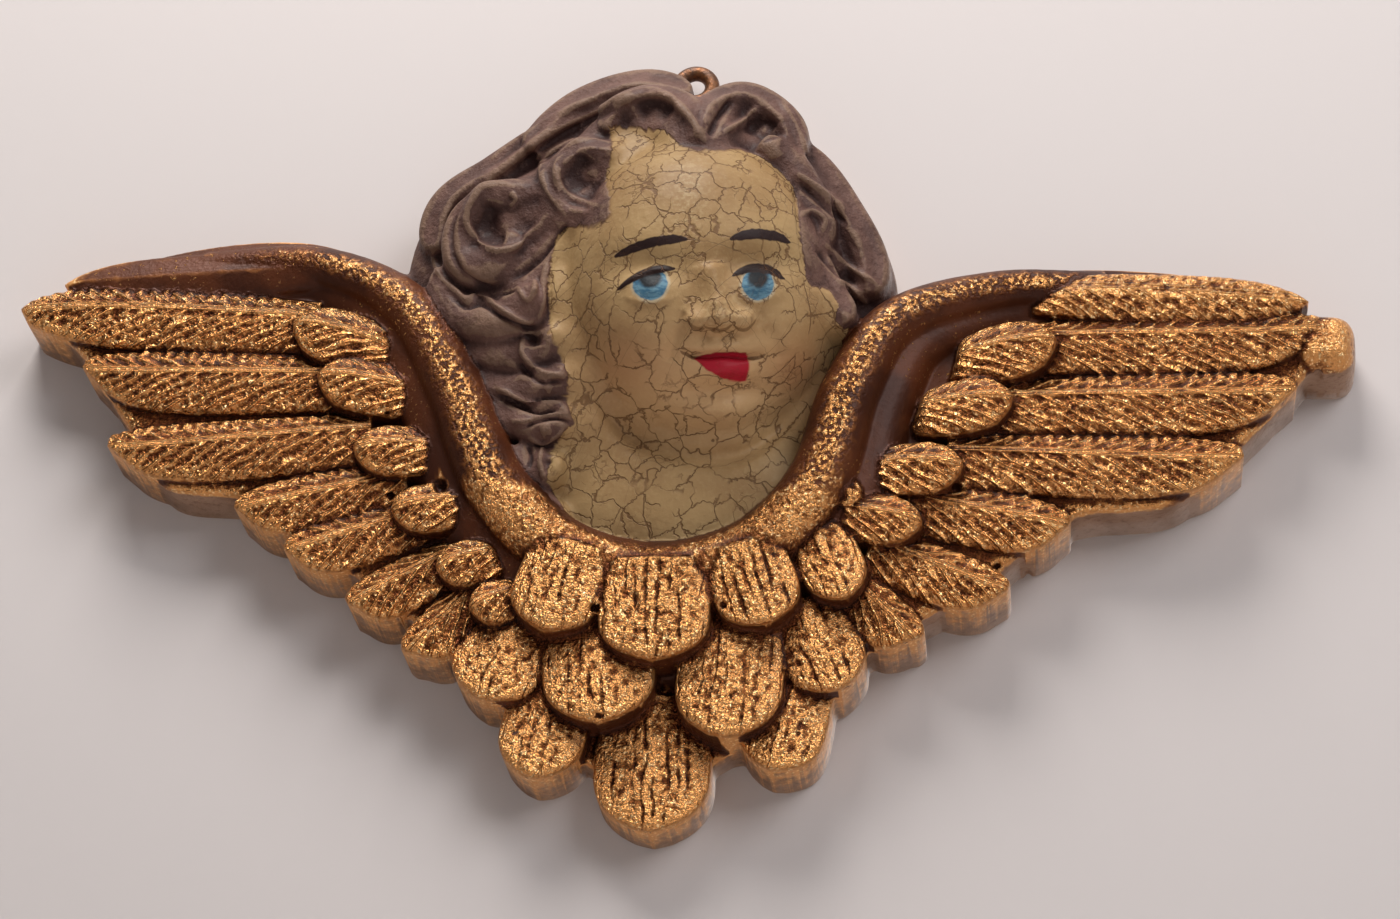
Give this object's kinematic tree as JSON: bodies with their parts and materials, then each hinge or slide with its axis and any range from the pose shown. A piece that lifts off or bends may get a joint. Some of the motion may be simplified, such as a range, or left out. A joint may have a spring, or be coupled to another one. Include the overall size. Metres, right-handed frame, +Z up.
{
  "type": "winged cherub head",
  "caption": "Small cast wall ornament: a putto's head with curly hair between two spread feathered wings, hung from a wire eye at its crown.",
  "frame": {"origin": "the middle of the hanging eye's hole, on the wall plane, where the nail or hook that carries the ornament comes out of the wall", "axes": "+Z up, +X to the viewer's right along the wings, +Y into the wall; the flat back lies at y = 0 and the face looks along -Y"},
  "size_m": [0.17, 0.0264, 0.1083],
  "materials": {
    "painted_plaster": "cast plaster, bronze-gold paint on the wings, crackled flesh paint and brown hair on the head",
    "brass_wire": "dull, tarnished"
  },
  "bodies": {
    "root": {"cast_winged_head": "painted_plaster", "hanging_eye": "brass_wire"}
  },
  "joints": []
}
